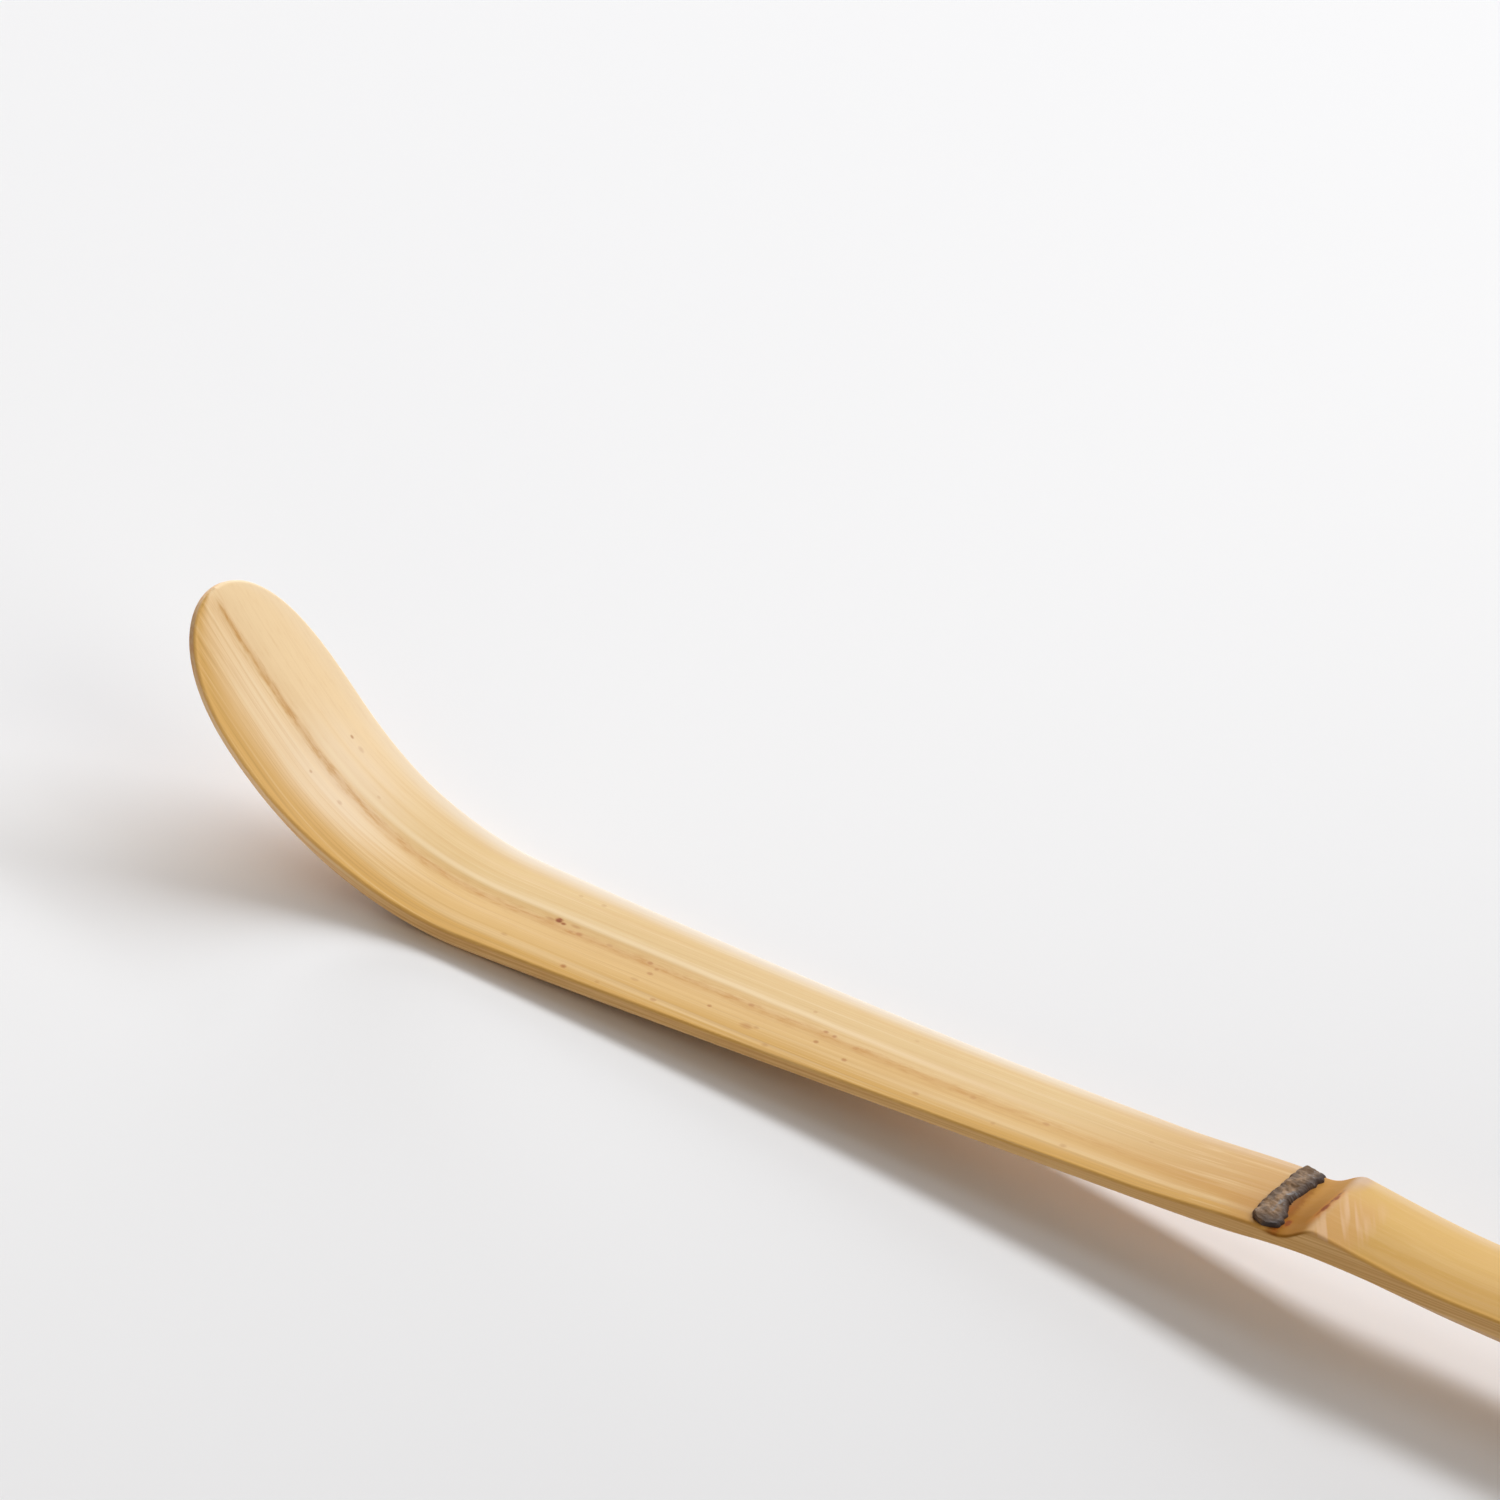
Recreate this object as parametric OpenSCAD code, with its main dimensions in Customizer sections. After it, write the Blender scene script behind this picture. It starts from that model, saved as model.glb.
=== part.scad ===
// Bamboo tea scoop: one strip of culm, carved to a rounded tip and bent up by heat,
// with the scar of the culm sheath left on its node.
// Lengths in millimetres. The tip points to -X and the strip lies on its bend and its tail.

/* [Strip] */
// Length of the strip along its curve, from tip to tail
strip_length = 187; // [160:1:210]
// Distance along the strip from the tip to the sheath scar
node_distance = 86; // [70:0.1:100]

/* [Raised tip] */
// Breadth of the tip at its widest
tip_width = 11; // [9:0.1:13]
// Length of the rounded end of the tip
tip_round = 11; // [8:0.1:12]
// Length of the raised tip before the bend
tip_length = 11.5; // [9:0.1:15]
// Slope of the raised tip where it meets the bend
tip_slope = 47.5; // [35:0.5:55]
// Slope that the tip gains on the way to its end
tip_curl = 11.2; // [0:0.2:16]
// Thickness at the edge of the tip
tip_thickness = 0.85; // [0.6:0.05:1.1]

/* [Bend] */
// Radius of the bend that lifts the tip
bend_radius = 20.1; // [15:0.1:26]
// Breadth of the strip in the bend
bend_width = 9.75; // [8:0.05:10.5]
// Thickness of the strip in the bend
bend_thickness = 1.4; // [1:0.05:2]

/* [Groove] */
// Depth of the groove in the tip and the bend
groove_depth = 0.3; // [0.15:0.05:0.7]
// Reach of the gentle near wall of the groove
groove_near = 2; // [1:0.1:2.5]
// Reach of the steeper far wall of the groove
groove_far = 0.4; // [0.3:0.05:2]
// Offset of the groove from the middle of the strip
groove_offset = -0.4; // [-0.6:0.1:0.6]
// Distance along the strip where the groove has run out
groove_end = 62; // [45:1:68]

/* [Shaft] */
// Breadth of the strip halfway along the shaft
shaft_width = 7.25; // [6:0.05:8.5]
// Thickness of the strip along the shaft
shaft_thickness = 1.2; // [1:0.05:2]
// Slope that the shaft gains between the bend and the node
shaft_sag = 4; // [1:0.1:6]
// Height of the natural crown of the skin over its edges
skin_crown = 0.25; // [0.1:0.05:0.6]

/* [Node] */
// Breadth of the strip at the node
node_width = 6.25; // [5:0.05:7.5]
// Thickness of the strip at the node, under the line of the skin
node_thickness = 1.4; // [1:0.05:2]
// Rise of the skin as it flares up to the sheath scar
flare_height = 0.35; // [0:0.05:0.8]
// Length of that flare
flare_length = 9; // [5:0.5:14]
// Breadth of the sheath scar along the strip
scar_breadth = 1.6; // [1:0.1:2.4]
// Height of the sheath scar over the skin
scar_height = 0.35; // [0.2:0.05:0.6]
// Bare skin left between the scar and the near edge
scar_margin = 0.5; // [0.3:0.1:1.2]
// Distance from the scar to the crest of the ridge
ridge_gap = 2.9; // [2:0.1:4]
// Height of the ridge over the line of the skin
ridge_height = 1.35; // [0.5:0.05:1.8]
// Length over which the ridge runs out into the handle
ridge_fade = 10.5; // [7:0.5:20]
// Depth of the hollow scraped under the ridge
node_hollow = 0.65; // [0:0.05:0.9]
// Slope that the strip loses as it passes the node
node_kink = 1.7; // [0:0.1:5]

/* [Handle] */
// Breadth of the handle just behind the node
handle_width = 6.15; // [5:0.05:7.5]
// Breadth of the cut tail
tail_width = 5; // [4:0.1:6.5]
// Thickness of the handle just behind the node
handle_thickness = 2.05; // [1.2:0.05:2.6]
// Thickness of the cut tail
tail_thickness = 2; // [1.2:0.05:2.6]
// Slope that the handle loses between the node and the tail
handle_bow = 14.4; // [8:0.1:18]

/* [Edges] */
// Rounding of the upper edges
edge_round = 0.22; // [0.1:0.01:0.3]
// Inset of the bevel under each edge
bevel_inset = 0.45; // [0.2:0.05:0.7]

/* [Hidden] */

BAMBOO = [0.87, 0.73, 0.48];
SCAR = [0.27, 0.22, 0.19];

// Share of the thickness that the bevel takes
BEVEL_SHARE = 0.38;
// Exponent of the rounded end of the tip
TIP_POWER = 2.8;
// Steps across the skin from one edge to the other
ACROSS = 26;
// Step of the curve along the strip that places are read from
FINE = 0.25;
// Length of the kink behind the sheath scar
KINK_LENGTH = 5;
// First place on the strip, so that the tip closes with a small flat
TIP_START = 0.06;

// Lengths along the strip
bend_start = tip_length;
bend_turn = tip_slope;
bend_length = bend_radius * bend_turn * PI / 180;
bend_end = bend_start + bend_length;
scar_end = node_distance + scar_breadth;
ridge_crest = scar_end + ridge_gap;
kink_end = ridge_crest + KINK_LENGTH;
// Place where the shaft has settled behind the bend
shaft_start = bend_end + bend_radius / 5;

// Slope of the strip before it is laid on the table, rising towards the tail
function slope(s) =
    s < bend_start ? -tip_slope - tip_curl * (1 - s / bend_start)
    : s < bend_end ? -tip_slope + (s - bend_start) / bend_radius * 180 / PI
    : s < node_distance ? shaft_sag * (s - bend_end) / (node_distance - bend_end)
    : s < kink_end ? shaft_sag - node_kink * ease((s - node_distance) / (kink_end - node_distance))
    : shaft_sag - node_kink - handle_bow * (s - kink_end) / (strip_length - kink_end);

// Rises smoothly from 0 to 1 while t goes from 0 to 1
function ease(t) = t <= 0 ? 0 : t >= 1 ? 1 : t * t * (3 - 2 * t);

// Smooth hump of height 1 at middle, with its own reach on each side
function hump(s, middle, before, after) = exp(-pow((s - middle) / (s < middle ? before : after), 2));

// Value at s on a smooth line through [place, value] stations
function through(stations, s) =
    let (last = len(stations) - 1)
    s <= stations[0][0] ? stations[0][1]
    : s >= stations[last][0] ? stations[last][1]
    : let (k = max([for (i = [0 : last - 1]) stations[i][0] <= s ? i : 0]))
      let (span = stations[k + 1][0] - stations[k][0])
      let (t = (s - stations[k][0]) / span)
      (2 * t * t * t - 3 * t * t + 1) * stations[k][1]
      + (t * t * t - 2 * t * t + t) * span * lean_at(stations, k)
      + (3 * t * t - 2 * t * t * t) * stations[k + 1][1]
      + (t * t * t - t * t) * span * lean_at(stations, k + 1);

// Change per millimetre at station k of such a line
function lean_at(stations, k) =
    let (a = max(k - 1, 0))
    let (b = min(k + 1, len(stations) - 1))
    (stations[b][1] - stations[a][1]) / (stations[b][0] - stations[a][0]);

WIDTHS = [
    [0, tip_width],
    [tip_round, tip_width * 0.985],
    [(bend_start + bend_end) / 2, bend_width],
    [(bend_end + node_distance) / 2, shaft_width],
    [node_distance, node_width],
    [kink_end + KINK_LENGTH, handle_width],
    [strip_length, tail_width]
];

THICKNESSES = [
    [0, tip_thickness],
    [bend_start, tip_thickness],
    [(bend_start + bend_end) / 2, bend_thickness],
    [(bend_end + node_distance) / 2, shaft_thickness],
    [node_distance, node_thickness],
    [kink_end + KINK_LENGTH, handle_thickness],
    [strip_length, tail_thickness]
];

function width(s) =
    through(WIDTHS, s) * (s < tip_round ? sqrt(1 - pow(1 - s / tip_round, TIP_POWER)) : 1);

function thickness(s) =
    through(THICKNESSES, s) - node_hollow * hump(s, ridge_crest, KINK_LENGTH, 2 * KINK_LENGTH);

// Rise of the whole skin at the node: the flare before the scar, then the ridge
function swelling(s) =
    s < scar_end
    ? flare_height * ease((s - node_distance + flare_length) / flare_length)
      * (1 - 0.5 * ease((s - node_distance) / scar_breadth))
    : s < ridge_crest
    ? 0.5 * flare_height + (ridge_height - 0.5 * flare_height) * pow(ease((s - scar_end) / ridge_gap), 1.3)
    : ridge_height * (1 - ease((s - ridge_crest) / ridge_fade * 0.5 + 0.5) * 2 + 1);

// Share of the groove that is left at s
function groove_share(s) = 1 - ease((s - bend_end) / (groove_end - bend_end));

// Height of the skin over the line of its edges, at y across the strip
function skin(s, y) =
    let (half = width(s) / 2)
    swelling(s)
    + skin_crown * min(1, half / (bend_width / 2)) * (1 - pow(y / half, 2))
    - groove_depth * groove_share(s) * min(1, half / (tip_width / 2))
      * hump(y, groove_offset, groove_near, groove_far);

// Place i of the steps across a skin that reaches to half, closer together at the groove
function across(half, i) =
    let (t = 1 - 2 * i / ACROSS)
    half * t * (0.6 + 0.4 * t * t);

// Section of the strip at s as [y, height] points, far edge first, over the skin and back below
function section(s) =
    let (half = width(s) / 2)
    let (thick = thickness(s))
    let (edge = min(edge_round, half * 0.4))
    let (inset = min(bevel_inset, half * 0.35))
    let (rise = swelling(s))
    let (wall = -thick * (1 - BEVEL_SHARE))
    concat(
        [for (i = [0 : ACROSS])
            let (y = across(half - edge, i))
            [y, skin(s, y)]],
        [[-half + edge * 0.3, rise - edge * 0.3],
         [-half, rise - edge],
         [-half, wall],
         [-half + inset, -thick],
         [0, -thick],
         [half - inset, -thick],
         [half, wall],
         [half, rise - edge],
         [half - edge * 0.3, rise - edge * 0.3]]
    );

// Middle line of the strip before it is laid down, one [x, z] every FINE millimetres
STEPS = ceil(strip_length / FINE);
LINE = [for (i = 0, x = 0, z = 0;
             i <= STEPS;
             x = x + FINE * cos(slope((i + 0.5) * FINE)),
             z = z + FINE * sin(slope((i + 0.5) * FINE)),
             i = i + 1) [x, z]];

function line_at(s) =
    let (k = min(floor(s / FINE), STEPS - 1))
    let (t = s / FINE - k)
    LINE[k] * (1 - t) + LINE[k + 1] * t;

// Point at height n over the middle line at s, before the strip is laid down
function over_line(s, n) = line_at(s) + n * [-sin(slope(s)), cos(slope(s))];

// The strip is turned until the tail and the bend both touch the table
HEEL = over_line(strip_length, -thickness(strip_length));
lay_angle = max([for (s = [bend_start : 0.5 : node_distance])
    let (p = over_line(s, -thickness(s)))
    atan2(HEEL[1] - p[1], HEEL[0] - p[0])]);

function lay(p) = [p[0] * cos(lay_angle) + p[1] * sin(lay_angle),
                   p[1] * cos(lay_angle) - p[0] * sin(lay_angle)];

table_z = lay(HEEL)[1];

// Ends of the strip along X, so that the middle of its length stands over the origin
front_x = min([for (s = [TIP_START, tip_round / 4, tip_round / 2, tip_round])
    lay(over_line(s, -thickness(s)))[0]]);
back_x = max(lay(over_line(strip_length, skin(strip_length, 0)))[0], lay(HEEL)[0]);
middle_x = (front_x + back_x) / 2;

// Point in the part's frame at s along the strip, y across it and n over its line
function place(s, y, n) =
    let (p = lay(over_line(s, n)))
    [p[0] - middle_x, y, p[1] - table_z];

// Places along the strip where it gets a section: close together at the tip and the node
function steps(from, to, step) =
    let (count = max(1, round((to - from) / step)))
    [for (i = [0 : count - 1]) from + (to - from) * i / count];

PLACES = concat(
    [for (i = [0 : 13]) TIP_START + (tip_round - TIP_START) * (1 - cos(90 * i / 14))],
    steps(tip_round, shaft_start, bend_length / 10),
    steps(shaft_start, node_distance - flare_length, (node_distance - bend_end) / 17),
    steps(node_distance - flare_length, node_distance, flare_length / 7),
    steps(node_distance, scar_end, scar_breadth / 2),
    steps(scar_end, ridge_crest, ridge_gap / 6),
    steps(ridge_crest, kink_end + KINK_LENGTH, KINK_LENGTH / 5),
    steps(kink_end + KINK_LENGTH, strip_length, (strip_length - node_distance) / 22),
    [strip_length]
);

// Triangles between two closed rings of the same count, each given by its first index
function wall_between(a, b, count) = [
    for (i = [0 : count - 1])
        let (j = (i + 1) % count)
        each [[a + i, b + i, b + j], [a + i, b + j, a + j]]
];

// Flat end of a loft as a strip of triangles between the skin and the back
function fan(first, count) = [for (i = [1 : count - 2]) [first, first + i, first + i + 1]];

function turned(faces) = [for (f = faces) [f[2], f[1], f[0]]];

// Closed solid through rings that all have the same number of points
module loft(rings) {
    count = len(rings[0]);
    last = len(rings) - 1;
    polyhedron(
        points = [for (ring = rings) each ring],
        faces = concat(
            [for (k = [0 : last - 1]) each wall_between(k * count, (k + 1) * count, count)],
            fan(0, count),
            turned(fan(last * count, count))
        )
    );
}

// One strip of bamboo from rounded tip to cut tail: tip, bend, shaft, node and handle
module bamboo_strip() {
    color(BAMBOO)
        loft([for (s = PLACES) [for (q = section(s)) place(s, q[0], q[1])]]);
}

// Remains of the culm sheath, seated on the skin of the node and short of the near edge
SCAR_PLACES = [node_distance, node_distance + scar_breadth / 2, scar_end];

// Half the breadth of the skin at s, inside the rounding of its edges
function skin_half(s) = width(s) / 2 - min(edge_round, width(s) / 2 * 0.4);

// Last step across the skin that keeps the bare margin at the near edge
scar_last = max([for (i = [1 : ACROSS])
    if (across(skin_half(node_distance), i) >= scar_margin - width(node_distance) / 2) i]);

// Places across the skin that the scar covers, taken from the strip's own section
function scar_across(s) = [for (i = [0 : scar_last]) across(skin_half(s), i)];

// Ring of the scar at s: its seat on the skin, then its crown, lower at both rims
function scar_ring(s, share) =
    let (ys = scar_across(s))
    let (last = len(ys) - 1)
    concat(
        [for (i = [0 : last])
            let (y = ys[last - i])
            place(s, y, skin(s, y))],
        [for (i = [0 : last])
            let (y = ys[i])
            place(s, y, skin(s, y) + scar_height * share * (i == 0 || i == last ? 0.6 : 1))]
    );

module sheath_scar() {
    color(SCAR)
        loft([
            scar_ring(SCAR_PLACES[0], 0.8),
            scar_ring(SCAR_PLACES[1], 1),
            scar_ring(SCAR_PLACES[2], 0.7)
        ]);
}

bamboo_strip();
sheath_scar();
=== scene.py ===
import math

import bmesh
import bpy
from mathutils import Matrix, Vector, noise


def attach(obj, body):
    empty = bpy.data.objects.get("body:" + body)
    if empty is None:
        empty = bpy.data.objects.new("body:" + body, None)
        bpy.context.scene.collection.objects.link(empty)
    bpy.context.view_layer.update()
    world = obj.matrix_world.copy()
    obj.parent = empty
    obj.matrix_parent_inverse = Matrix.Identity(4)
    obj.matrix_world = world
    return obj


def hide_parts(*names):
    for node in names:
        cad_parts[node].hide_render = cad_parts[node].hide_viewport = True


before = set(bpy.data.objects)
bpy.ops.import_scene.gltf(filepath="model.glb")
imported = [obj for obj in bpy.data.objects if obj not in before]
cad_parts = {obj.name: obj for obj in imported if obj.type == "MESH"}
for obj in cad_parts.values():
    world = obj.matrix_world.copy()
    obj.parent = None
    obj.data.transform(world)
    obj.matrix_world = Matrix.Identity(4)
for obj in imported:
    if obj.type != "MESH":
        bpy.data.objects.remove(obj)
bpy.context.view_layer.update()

MM = 0.001

# The strip's measures in millimetres and degrees, as the part's source has them, apart from
# the groove: here it is shallower and its far side broader, because it shows mostly as a line

STRIP_LENGTH = 187
NODE_DISTANCE = 86
TIP_WIDTH = 11
TIP_ROUND = 11
TIP_LENGTH = 11.5
TIP_SLOPE = 47.5
TIP_CURL = 11.2
TIP_THICKNESS = 0.85
BEND_RADIUS = 20.1
BEND_WIDTH = 9.75
BEND_THICKNESS = 1.4
GROOVE_DEPTH = 0.1
GROOVE_NEAR = 2
GROOVE_FAR = 0.9
GROOVE_OFFSET = -0.4
GROOVE_END = 62
SHAFT_WIDTH = 7.25
SHAFT_THICKNESS = 1.2
SHAFT_SAG = 4
SKIN_CROWN = 0.25
NODE_WIDTH = 6.25
NODE_THICKNESS = 1.4
FLARE_HEIGHT = 0.35
FLARE_LENGTH = 9
SCAR_BREADTH = 1.6
SCAR_HEIGHT = 0.35
SCAR_MARGIN = 0.5
RIDGE_GAP = 2.9
RIDGE_HEIGHT = 1.35
RIDGE_FADE = 10.5
NODE_HOLLOW = 0.65
NODE_KINK = 1.7
HANDLE_WIDTH = 6.15
TAIL_WIDTH = 5
HANDLE_THICKNESS = 2.05
TAIL_THICKNESS = 2
HANDLE_BOW = 14.4
EDGE_ROUND = 0.22
BEVEL_INSET = 0.45
BEVEL_SHARE = 0.38
TIP_POWER = 2.8
KINK_LENGTH = 5
FINE = 0.25
NUDGE = 0.002

BEND_END = TIP_LENGTH + BEND_RADIUS * math.radians(TIP_SLOPE)
SCAR_END = NODE_DISTANCE + SCAR_BREADTH
RIDGE_CREST = SCAR_END + RIDGE_GAP
KINK_END = RIDGE_CREST + KINK_LENGTH


# The line the strip is bent to, its width, its thickness and its skin

def ease(t):
    t = min(max(t, 0), 1)
    return t * t * (3 - 2 * t)


def hump(at, middle, before, after):
    return math.exp(-((at - middle) / (before if at < middle else after)) ** 2)


def slope(s):
    """Slope of the strip in degrees at s along it, before it is laid down."""
    if s < TIP_LENGTH:
        return -TIP_SLOPE - TIP_CURL * (1 - s / TIP_LENGTH)
    if s < BEND_END:
        return -TIP_SLOPE + math.degrees((s - TIP_LENGTH) / BEND_RADIUS)
    if s < NODE_DISTANCE:
        return SHAFT_SAG * (s - BEND_END) / (NODE_DISTANCE - BEND_END)
    if s < KINK_END:
        return SHAFT_SAG - NODE_KINK * ease((s - NODE_DISTANCE) / (KINK_END - NODE_DISTANCE))
    return SHAFT_SAG - NODE_KINK - HANDLE_BOW * (s - KINK_END) / (STRIP_LENGTH - KINK_END)


def through(stations, s):
    """Value at s on a smooth line through (place, value) stations."""
    last = len(stations) - 1
    if s <= stations[0][0]:
        return stations[0][1]
    if s >= stations[last][0]:
        return stations[last][1]
    k = max(i for i in range(last) if stations[i][0] <= s)

    def lean(i):
        a, b = stations[max(i - 1, 0)], stations[min(i + 1, last)]
        return (b[1] - a[1]) / (b[0] - a[0])

    span = stations[k + 1][0] - stations[k][0]
    t = (s - stations[k][0]) / span
    return (
        (2 * t**3 - 3 * t * t + 1) * stations[k][1]
        + (t**3 - 2 * t * t + t) * span * lean(k)
        + (3 * t * t - 2 * t**3) * stations[k + 1][1]
        + (t**3 - t * t) * span * lean(k + 1)
    )


MID_BEND = (TIP_LENGTH + BEND_END) / 2
MID_SHAFT = (BEND_END + NODE_DISTANCE) / 2
WIDTHS = [
    (0, TIP_WIDTH), (TIP_ROUND, TIP_WIDTH * 0.985), (MID_BEND, BEND_WIDTH),
    (MID_SHAFT, SHAFT_WIDTH), (NODE_DISTANCE, NODE_WIDTH),
    (KINK_END + KINK_LENGTH, HANDLE_WIDTH), (STRIP_LENGTH, TAIL_WIDTH),
]
THICKNESSES = [
    (0, TIP_THICKNESS), (TIP_LENGTH, TIP_THICKNESS), (MID_BEND, BEND_THICKNESS),
    (MID_SHAFT, SHAFT_THICKNESS), (NODE_DISTANCE, NODE_THICKNESS),
    (KINK_END + KINK_LENGTH, HANDLE_THICKNESS), (STRIP_LENGTH, TAIL_THICKNESS),
]


def half_width(s):
    rounded = math.sqrt(1 - (1 - max(s, 0) / TIP_ROUND) ** TIP_POWER) if s < TIP_ROUND else 1
    return through(WIDTHS, s) * rounded / 2


def thickness(s):
    return through(THICKNESSES, s) - NODE_HOLLOW * hump(s, RIDGE_CREST, KINK_LENGTH, 2 * KINK_LENGTH)


def swelling(s):
    """Rise of the whole skin at the node: the flare before the scar, then the ridge."""
    if s < SCAR_END:
        flare = ease((s - NODE_DISTANCE + FLARE_LENGTH) / FLARE_LENGTH)
        return FLARE_HEIGHT * flare * (1 - 0.5 * ease((s - NODE_DISTANCE) / SCAR_BREADTH))
    if s < RIDGE_CREST:
        climb = ease((s - SCAR_END) / RIDGE_GAP) ** 1.3
        return 0.5 * FLARE_HEIGHT + (RIDGE_HEIGHT - 0.5 * FLARE_HEIGHT) * climb
    return RIDGE_HEIGHT * (2 - 2 * ease((s - RIDGE_CREST) / RIDGE_FADE * 0.5 + 0.5))


def skin(s, y):
    """Height of the skin over the line of its edges, at y across the strip."""
    half = max(half_width(s), 0.01)
    groove = 1 - ease((s - BEND_END) / (GROOVE_END - BEND_END))
    return (
        swelling(s)
        + SKIN_CROWN * min(1, half / (BEND_WIDTH / 2)) * (1 - min(1, abs(y) / half) ** 2)
        - GROOVE_DEPTH * groove * min(1, half / (TIP_WIDTH / 2))
        * hump(y, GROOVE_OFFSET, GROOVE_NEAR, GROOVE_FAR)
    )


LINE = [Vector((0, 0))]
for step in range(math.ceil(STRIP_LENGTH / FINE) + 1):
    lean = math.radians(slope((step + 0.5) * FINE))
    LINE.append(LINE[-1] + FINE * Vector((math.cos(lean), math.sin(lean))))


def over_line(s, n):
    k = min(int(s / FINE), len(LINE) - 2)
    lean = math.radians(slope(s))
    return LINE[k].lerp(LINE[k + 1], s / FINE - k) + n * Vector((-math.sin(lean), math.cos(lean)))


# The strip lies on the back of its bend and on the lower edge of its tail
HEEL = over_line(STRIP_LENGTH, -thickness(STRIP_LENGTH))
LAY_ANGLE = max(
    math.atan2(HEEL.y - p.y, HEEL.x - p.x)
    for p in (
        over_line(TIP_LENGTH + k / 2, -thickness(TIP_LENGTH + k / 2))
        for k in range(int(2 * (NODE_DISTANCE - TIP_LENGTH)) + 1)
    )
)


def lay(p):
    c, d = math.cos(LAY_ANGLE), math.sin(LAY_ANGLE)
    return Vector((p.x * c + p.y * d, p.y * c - p.x * d))


TABLE_Z = lay(HEEL).y
FRONT_X = min(lay(over_line(s, -thickness(s))).x for s in (0.06, TIP_ROUND / 4, TIP_ROUND / 2, TIP_ROUND))
BACK_X = max(lay(over_line(STRIP_LENGTH, skin(STRIP_LENGTH, 0))).x, lay(HEEL).x)
MIDDLE_X = (FRONT_X + BACK_X) / 2


def place(s, y, n):
    """Point in metres at s along the strip, y across it and n over its line."""
    p = lay(over_line(s, n))
    return Vector((p.x - MIDDLE_X, y, p.y - TABLE_Z)) * MM


# Materials

def ink(red, green, blue):
    """Linear colour from the usual 0 to 255 values."""
    return tuple(
        c / 12.92 if c <= 0.04045 else ((c + 0.055) / 1.055) ** 2.4
        for c in (red / 255, green / 255, blue / 255)
    ) + (1.0,)


class Value:
    """What a node gives. Arithmetic on a number adds Math nodes."""

    def __init__(self, nodes, socket):
        self.nodes, self.socket = nodes, socket

    def math(self, operation, *others, swap=False):
        values = [self, *others]
        if swap:
            values.reverse()
        return self.nodes.node("ShaderNodeMath", {"operation": operation}, dict(enumerate(values)))

    def __add__(self, other):
        return self.math("ADD", other)

    def __sub__(self, other):
        return self.math("SUBTRACT", other)

    def __rsub__(self, other):
        return self.math("SUBTRACT", other, swap=True)

    def __mul__(self, other):
        return self.math("MULTIPLY", other)

    def __truediv__(self, other):
        return self.math("DIVIDE", other)

    def __pow__(self, other):
        return self.math("POWER", other)

    __radd__ = __add__
    __rmul__ = __mul__

    def top(self, other):
        return self.math("MAXIMUM", other)


class Nodes:
    """The nodes of a material or of the world."""

    def __init__(self, tree):
        self.tree = tree

    def node(self, kind, settings=None, inputs=None, out=0):
        """Adds a node, sets it up, then fills its sockets with values or links."""
        made = self.tree.nodes.new(kind)
        for name, value in (settings or {}).items():
            setattr(made, name, value)
        for key, value in (inputs or {}).items():
            if isinstance(value, Value):
                self.tree.links.new(value.socket, made.inputs[key])
            else:
                made.inputs[key].default_value = value
        return Value(self, made.outputs[out])


# Sockets of a colour Mix node, which has several of the same name
MIX_SHARE, MIX_FIRST, MIX_SECOND = 0, 6, 7
MIX_RESULT = 2


class Finish(Nodes):
    """A material being made: one Principled shader and whatever drives it."""

    def __init__(self, name, **constants):
        self.material = bpy.data.materials.new(name)
        self.material.use_nodes = True
        super().__init__(self.material.node_tree)
        self.shader = next(n for n in self.tree.nodes if n.type == "BSDF_PRINCIPLED")
        for socket, value in constants.items():
            self.shader.inputs[socket.replace("_", " ")].default_value = value

    def attribute(self, name, out):
        return self.node("ShaderNodeAttribute", {"attribute_name": name}, out=out)

    def parts(self, vector):
        """The three numbers of a vector."""
        first = self.node("ShaderNodeSeparateXYZ", None, {0: vector})
        return [Value(self, out) for out in first.socket.node.outputs]

    def grain(self, vector, scale, detail=3.0, roughness=0.5, shift=(0, 0, 0)):
        """Noise from 0 to 1, with its own scale along, across and through the strip."""
        drawn_out = self.node(
            "ShaderNodeMapping", None, {"Vector": vector, "Scale": scale, "Location": shift},
        )
        return self.node(
            "ShaderNodeTexNoise", None,
            {"Vector": drawn_out, "Scale": 1.0, "Detail": detail, "Roughness": roughness},
        )

    def rise(self, value, start, end):
        """0 below start, 1 past end, smooth between. End may be lower than start."""
        return self.node(
            "ShaderNodeMapRange", {"interpolation_type": "SMOOTHSTEP"},
            {"Value": value, "From Min": start, "From Max": end, "To Min": 0.0, "To Max": 1.0},
        )

    def band(self, value, start, end, soft):
        """1 between start and end, 0 outside them, with soft borders."""
        return self.rise(value, start - soft, start + soft) * self.rise(value, end + soft, end - soft)

    def mix(self, share, first, second):
        """The first colour where the share is 0, the second where it is 1."""
        return self.node(
            "ShaderNodeMix", {"data_type": "RGBA"},
            {MIX_SHARE: share, MIX_FIRST: first, MIX_SECOND: second}, out=MIX_RESULT,
        )

    def bump(self, height, distance, strength):
        return self.node(
            "ShaderNodeBump", None, {"Height": height, "Distance": distance, "Strength": strength},
        )

    def drive(self, socket, value):
        self.tree.links.new(value.socket, self.shader.inputs[socket])


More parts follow.
